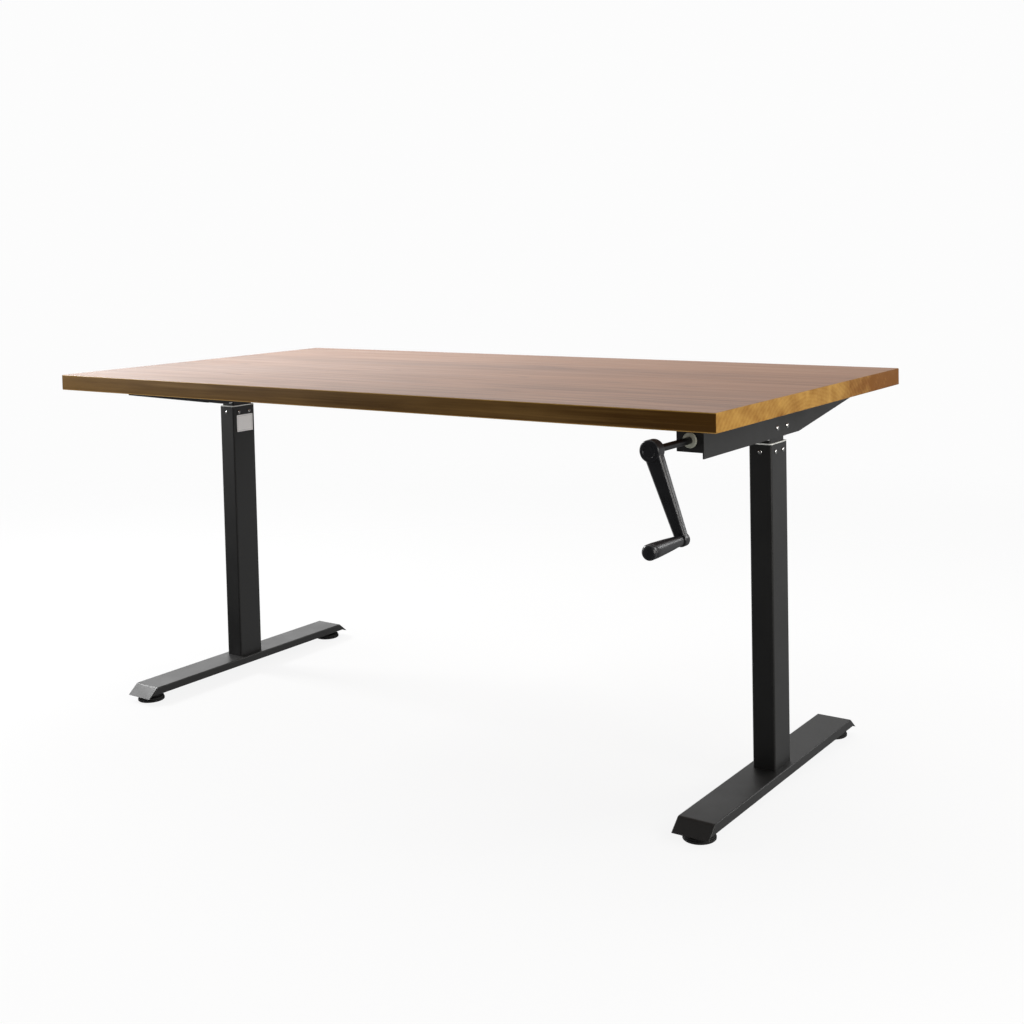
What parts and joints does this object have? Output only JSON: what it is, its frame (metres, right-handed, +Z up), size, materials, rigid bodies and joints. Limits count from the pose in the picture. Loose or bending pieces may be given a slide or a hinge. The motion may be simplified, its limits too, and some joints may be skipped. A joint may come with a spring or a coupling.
{
  "type": "height adjustable standing desk",
  "caption": "Hand-crank height-adjustable standing desk: walnut desktop on a black T-leg steel frame with telescoping columns and levelling feet.",
  "frame": {"origin": "on the floor, under the middle of the desk's bounding box, with the crank counted", "axes": "+X along the desktop towards the crank, +Y away from the user, +Z up"},
  "size_m": [1.6, 0.919, 0.74],
  "materials": {
    "walnut_top": "satin oiled, grain along the length",
    "frame_black": "fine textured black powder coat",
    "nylon_glide": "natural nylon",
    "bush_pale": "pale moulded nylon",
    "cast_housing": "sand cast",
    "nut_bronze": "turned",
    "bright_screw": "bright nickel",
    "pad_black": "moulded, fine texture",
    "crank_black": "moulded, half gloss",
    "grip_black": "moulded, half gloss",
    "shaft_dark": "blackened",
    "gear_steel": "machined, greased",
    "zinc_steel": "zinc plated"
  },
  "bodies": {
    "left_base": {"foot_left": "frame_black", "outer_column_left": "frame_black", "base_bolts_left": "zinc_steel", "nut_tube_left": "zinc_steel", "drive_nut_left": "nut_bronze", "upper_glide_left": "nylon_glide", "glide_screws_left": "bright_screw"},
    "right_base": {"foot_right": "frame_black", "outer_column_right": "frame_black", "base_bolts_right": "zinc_steel", "nut_tube_right": "zinc_steel", "drive_nut_right": "nut_bronze", "upper_glide_right": "nylon_glide", "glide_screws_right": "bright_screw"},
    "upper_frame": {"desktop": "walnut_top", "bracket_left": "frame_black", "bracket_right": "frame_black", "inner_column_left": "frame_black", "inner_column_right": "frame_black", "lower_glide_left": "nylon_glide", "lower_glide_right": "nylon_glide", "thrust_bearing_left": "zinc_steel", "thrust_bearing_right": "zinc_steel", "gear_housing_left": "cast_housing", "gear_housing_right": "cast_housing", "gear_cover_left": "cast_housing", "gear_cover_right": "cast_housing", "front_plate_right": "frame_black", "crank_bush": "bush_pale", "front_rail_outer": "frame_black", "front_rail_inner": "frame_black", "rear_rail_outer": "frame_black", "rear_rail_inner": "frame_black", "rail_bolts": "zinc_steel", "rail_lock_screws": "zinc_steel", "housing_screws": "bright_screw", "plate_bolts": "zinc_steel", "desktop_screws": "zinc_steel"},
    "cross_rod": {"hex_rod": "shaft_dark", "rod_gear_left": "gear_steel", "rod_gear_right": "gear_steel"},
    "left_screw": {"lead_screw_left": "zinc_steel", "screw_gear_left": "gear_steel"},
    "right_screw": {"lead_screw_right": "zinc_steel", "screw_gear_right": "gear_steel"},
    "crank_drive": {"crank_gear": "gear_steel"},
    "crank": {"crank_shaft": "shaft_dark", "shaft_collar": "shaft_dark", "crank_arm": "crank_black", "grip_axle": "zinc_steel"},
    "grip": {"crank_grip": "grip_black", "grip_cap": "grip_black"},
    "levelling_left_front": {"pad_left_front": "pad_black", "stud_left_front": "zinc_steel"},
    "levelling_left_rear": {"pad_left_rear": "pad_black", "stud_left_rear": "zinc_steel"},
    "levelling_right_front": {"pad_right_front": "pad_black", "stud_right_front": "zinc_steel"},
    "levelling_right_rear": {"pad_right_rear": "pad_black", "stud_right_rear": "zinc_steel"}
  },
  "joints": [
    {"name": "lift", "type": "slide", "parent": "left_base", "child": "upper_frame", "axis": [0, 0, 1], "range_m": [0, 0.4205]},
    {"name": "right_leg_slide", "type": "slide", "parent": "upper_frame", "child": "right_base", "axis": [0, 0, -1], "range_m": [0, 0.4205]},
    {"name": "crank_turn", "type": "hinge", "parent": "upper_frame", "child": "crank_drive", "pos_m": [0.693, 0.0705, 0.676], "axis": [0, 1, 0], "range_deg": [0, 25200]},
    {"name": "crank_stow", "type": "slide", "parent": "crank_drive", "child": "crank", "axis": [0, 1, 0], "range_m": [0, 0.04]},
    {"name": "grip_spin", "type": "hinge", "parent": "crank", "child": "grip", "pos_m": [0.74294, -0.3, 0.5388], "axis": [0, 1, 0], "continuous": true},
    {"name": "cross_rod_turn", "type": "hinge", "parent": "upper_frame", "child": "cross_rod", "pos_m": [0, 0.0705, 0.659], "axis": [1, 0, 0], "range_deg": [-25210, 0]},
    {"name": "right_screw_turn", "type": "hinge", "parent": "upper_frame", "child": "right_screw", "pos_m": [0.693, 0.0705, 0.6], "axis": [0, 0, 1], "range_deg": [-25210, 0]},
    {"name": "left_screw_turn", "type": "hinge", "parent": "upper_frame", "child": "left_screw", "pos_m": [-0.693, 0.0705, 0.6], "axis": [0, 0, 1], "range_deg": [0, 25210]},
    {"name": "pad_left_front_level", "type": "slide", "parent": "left_base", "child": "levelling_left_front", "axis": [0, 0, -1], "range_m": [0, 0.008]},
    {"name": "pad_left_rear_level", "type": "slide", "parent": "left_base", "child": "levelling_left_rear", "axis": [0, 0, -1], "range_m": [0, 0.008]},
    {"name": "pad_right_front_level", "type": "slide", "parent": "right_base", "child": "levelling_right_front", "axis": [0, 0, -1], "range_m": [0, 0.008]},
    {"name": "pad_right_rear_level", "type": "slide", "parent": "right_base", "child": "levelling_right_rear", "axis": [0, 0, -1], "range_m": [0, 0.008]}
  ],
  "couplings": [
    {"joint": "lift", "follows": "crank_turn", "m_per_rad": 0.00095493},
    {"joint": "right_leg_slide", "follows": "crank_turn", "m_per_rad": 0.00095493},
    {"joint": "cross_rod_turn", "follows": "crank_turn", "ratio": -1},
    {"joint": "right_screw_turn", "follows": "crank_turn", "ratio": -1},
    {"joint": "left_screw_turn", "follows": "crank_turn", "ratio": 1}
  ]
}
